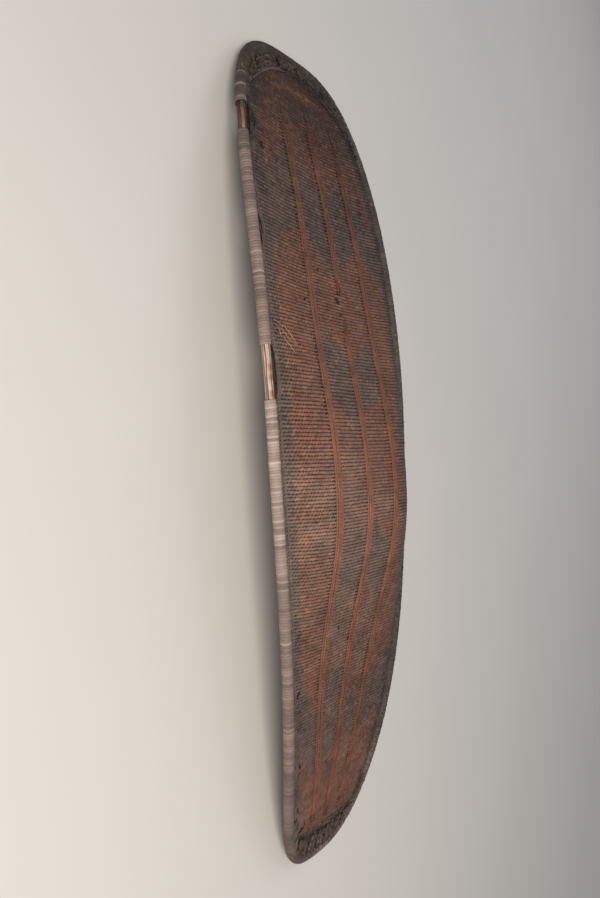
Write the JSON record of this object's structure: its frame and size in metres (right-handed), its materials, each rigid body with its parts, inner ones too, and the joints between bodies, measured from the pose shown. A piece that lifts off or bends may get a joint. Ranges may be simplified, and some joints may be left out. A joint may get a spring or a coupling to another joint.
{
  "type": "woven cane shield",
  "caption": "Long bowed shield of woven cane with blunt ends, a domed middle, raised ribs, a bound rim and a wooden hand grip across its hollow back.",
  "frame": {"origin": "on the floor under the middle of the shield, which lies face up on its two ends", "axes": "+Y from the bottom end to the top end, +X across the shield, +Z out of its face"},
  "size_m": [0.39, 1.3, 0.1464],
  "materials": {
    "weave": "split cane stained dark and red, closely woven, worn matt",
    "bare_rod": "peeled rattan rod, dry and split",
    "binding": "weathered split cane, wound tight",
    "red_cane": "red stained split cane",
    "dark_cane": "grey brown split cane, lashed close",
    "grip_wood": "carved hardwood, polished by the hand",
    "lashing": "flat cane strip"
  },
  "bodies": {
    "root": {"woven_panel": "weave", "rim_hoop": "bare_rod", "rim_binding_long_run": "binding", "rim_binding_short_run": "binding", "rib_left": "red_cane", "rib_middle": "red_cane", "rib_right": "red_cane", "end_band_top": "dark_cane", "end_band_bottom": "dark_cane", "hand_grip": "grip_wood", "grip_lashing_upper": "lashing", "grip_lashing_lower": "lashing"}
  },
  "joints": []
}
